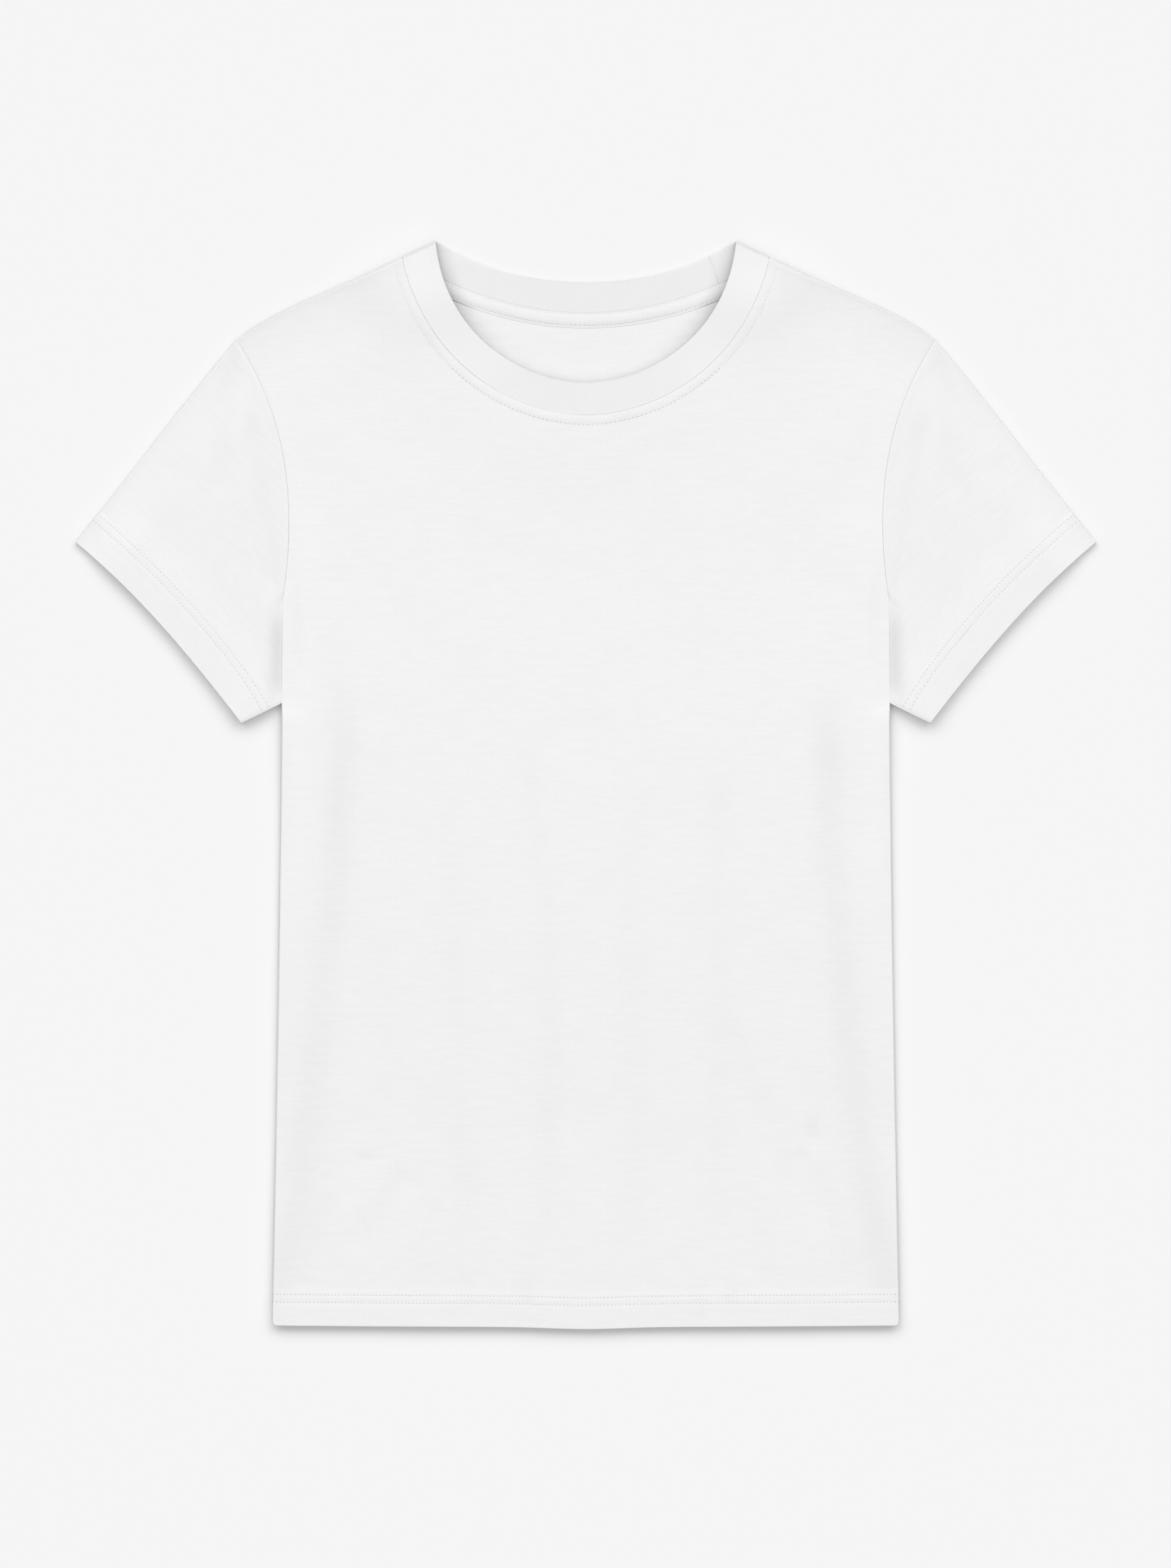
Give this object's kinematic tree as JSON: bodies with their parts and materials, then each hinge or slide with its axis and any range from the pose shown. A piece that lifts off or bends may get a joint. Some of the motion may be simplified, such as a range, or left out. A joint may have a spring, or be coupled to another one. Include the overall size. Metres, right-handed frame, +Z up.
{
  "type": "t-shirt",
  "caption": "Short-sleeved crew neck t-shirt laid flat on its back, in off-white slub jersey with a ribbed neckband, a back neck tape and turned, stitched hems.",
  "frame": {"origin": "centre of the shirt's outline on the surface it lies on, under the back panel", "axes": "+X towards the wearer's left sleeve, +Y from the hem to the neck, +Z up from the surface through the front panel"},
  "size_m": [0.6388, 0.6806, 0.0078],
  "materials": {
    "back": "matt slub jersey, off white",
    "front": "matt slub jersey, off white",
    "neck_tape": "matt jersey tape, off white",
    "neckband": "matt rib knit, off white",
    "sleeve_left": "matt slub jersey, off white",
    "sleeve_right": "matt slub jersey, off white"
  },
  "bodies": {
    "root": {"back": "back", "front": "front", "neck_tape": "neck_tape", "neckband": "neckband", "sleeve_left": "sleeve_left", "sleeve_right": "sleeve_right"}
  },
  "joints": []
}
